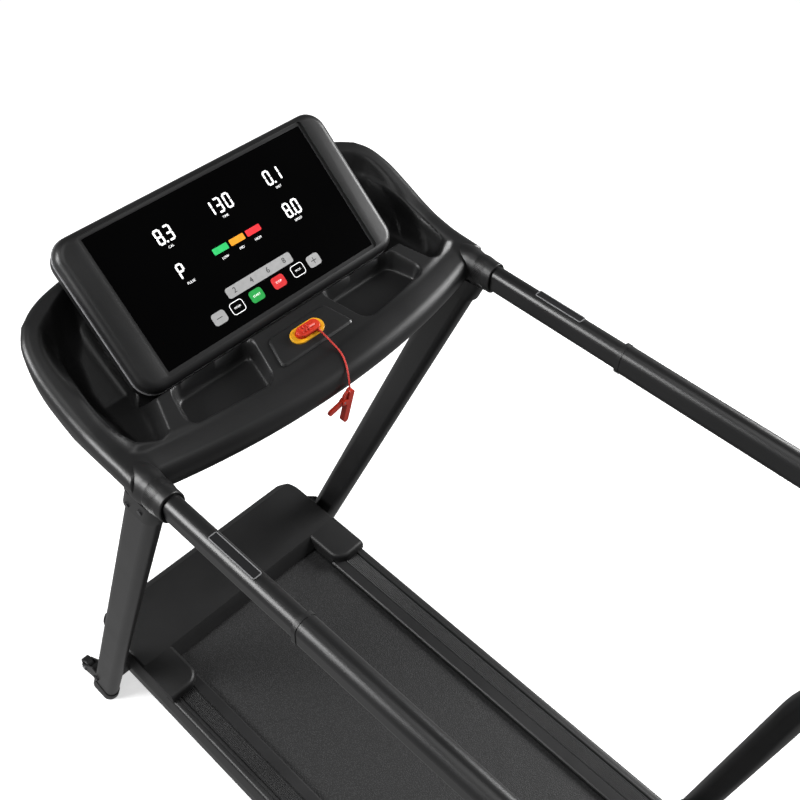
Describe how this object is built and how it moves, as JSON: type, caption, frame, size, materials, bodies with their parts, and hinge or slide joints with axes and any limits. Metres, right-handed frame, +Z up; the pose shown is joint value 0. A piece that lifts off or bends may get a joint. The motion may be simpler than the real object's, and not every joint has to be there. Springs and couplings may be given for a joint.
{
  "type": "treadmill",
  "caption": "Walking treadmill: belt deck, motor hood, leaning uprights with a tilted display console, and long oval handrails that bend down to the floor behind.",
  "frame": {"origin": "on the floor, at the centre of the overall box", "axes": "+X to the walker's right, +Y forwards to the console, +Z up"},
  "size_m": [0.704, 1.4, 1.3224],
  "materials": {
    "frame_paint": "satin powder coat",
    "black_plastic": "fine moulded grain",
    "bezel_plastic": "satin",
    "display_glass": "glossy",
    "belt_rubber": "woven texture",
    "rubber": "matte",
    "wheel_plastic": "satin",
    "board": "laminated",
    "steel": "turned",
    "cast": "painted",
    "sensor_plate": "brushed",
    "electronics": "board",
    "yellow_plastic": "satin",
    "red_plastic": "satin",
    "red_cord": "braided"
  },
  "bodies": {
    "frame": {"belly_pan": "black_plastic", "console_cover": "black_plastic", "console_crossbar": "frame_paint", "console_screws": "steel", "console_tub": "black_plastic", "cross_tubes": "frame_paint", "deck_cushions": "rubber", "display_back_shell": "black_plastic", "display_bezel": "bezel_plastic", "display_board": "electronics", "display_glass": "display_glass", "drive_belt": "rubber", "foot_caps": "black_plastic", "foot_rail_left": "black_plastic", "foot_rail_right": "black_plastic", "frame_bolts": "steel", "grip_rail_left": "frame_paint", "grip_rail_right": "frame_paint", "handrail_left": "frame_paint", "handrail_right": "frame_paint", "joint_rings": "black_plastic", "key_socket": "yellow_plastic", "leg_brackets": "frame_paint", "motor_controller": "electronics", "motor_hood": "black_plastic", "motor_housing": "cast", "motor_mount": "frame_paint", "power_inlet": "black_plastic", "pulse_plates": "sensor_plate", "rear_end_cap_left": "black_plastic", "rear_end_cap_right": "black_plastic", "rear_foot_pads": "rubber", "roller_axles": "steel", "running_belt": "belt_rubber", "running_board": "board", "side_beam_left": "frame_paint", "side_beam_right": "frame_paint", "tension_bolts": "steel", "upright_brackets": "frame_paint", "upright_left": "frame_paint", "upright_right": "frame_paint", "wheel_axles": "steel", "wheel_brackets": "frame_paint"},
    "front_roller": {"front_roller": "steel", "front_roller_bearings": "steel"},
    "rear_roller": {"rear_roller": "steel", "rear_roller_bearings": "steel"},
    "motor_rotor": {"motor_armature": "steel", "motor_pulley": "steel", "motor_flywheel": "cast"},
    "wheel_left": {"transport_wheel_left": "wheel_plastic"},
    "wheel_right": {"transport_wheel_right": "wheel_plastic"},
    "safety_key": {"safety_key": "red_plastic", "safety_cord": "red_cord", "clip_body": "red_plastic", "clip_pin": "steel"},
    "clip_jaw": {"clip_jaw": "red_plastic"},
    "power_switch": {"power_switch": "black_plastic"},
    "reset_button": {"reset_button": "red_plastic"}
  },
  "joints": [
    {"name": "front_roller_spin", "type": "hinge", "parent": "frame", "child": "front_roller", "pos_m": [0, 0.572, 0.1201], "axis": [1, 0, 0], "continuous": true},
    {"name": "rear_roller_spin", "type": "hinge", "parent": "frame", "child": "rear_roller", "pos_m": [0, -0.655, 0.1201], "axis": [1, 0, 0], "continuous": true},
    {"name": "motor_spin", "type": "hinge", "parent": "frame", "child": "motor_rotor", "pos_m": [0, 0.645, 0.098], "axis": [1, 0, 0], "continuous": true},
    {"name": "wheel_left_spin", "type": "hinge", "parent": "frame", "child": "wheel_left", "pos_m": [-0.327, 0.679, 0.041], "axis": [1, 0, 0], "continuous": true},
    {"name": "wheel_right_spin", "type": "hinge", "parent": "frame", "child": "wheel_right", "pos_m": [0.327, 0.679, 0.041], "axis": [1, 0, 0], "continuous": true},
    {"name": "key_pull", "type": "slide", "parent": "frame", "child": "safety_key", "axis": [0, -0.1867, 0.9824], "range_m": [0, 0.06]},
    {"name": "clip_open", "type": "hinge", "parent": "safety_key", "child": "clip_jaw", "pos_m": [-0.02304, 0.14906, 1.10776], "axis": [0, -1, 0], "range_deg": [0, 25], "stiffness_Nm_per_rad": 0.04, "springref_deg": -34.38},
    {"name": "switch_rock", "type": "hinge", "parent": "frame", "child": "power_switch", "pos_m": [-0.093, 0.692, 0.087], "axis": [1, 0, 0], "range_deg": [0, 14]},
    {"name": "reset_press", "type": "slide", "parent": "frame", "child": "reset_button", "axis": [0, -1, 0], "range_m": [0, 0.003], "stiffness_N_per_m": 300, "springref_m": -0.001}
  ],
  "couplings": [
    {"joint": "rear_roller_spin", "follows": "front_roller_spin", "ratio": 1},
    {"joint": "motor_spin", "follows": "front_roller_spin", "ratio": 2}
  ]
}
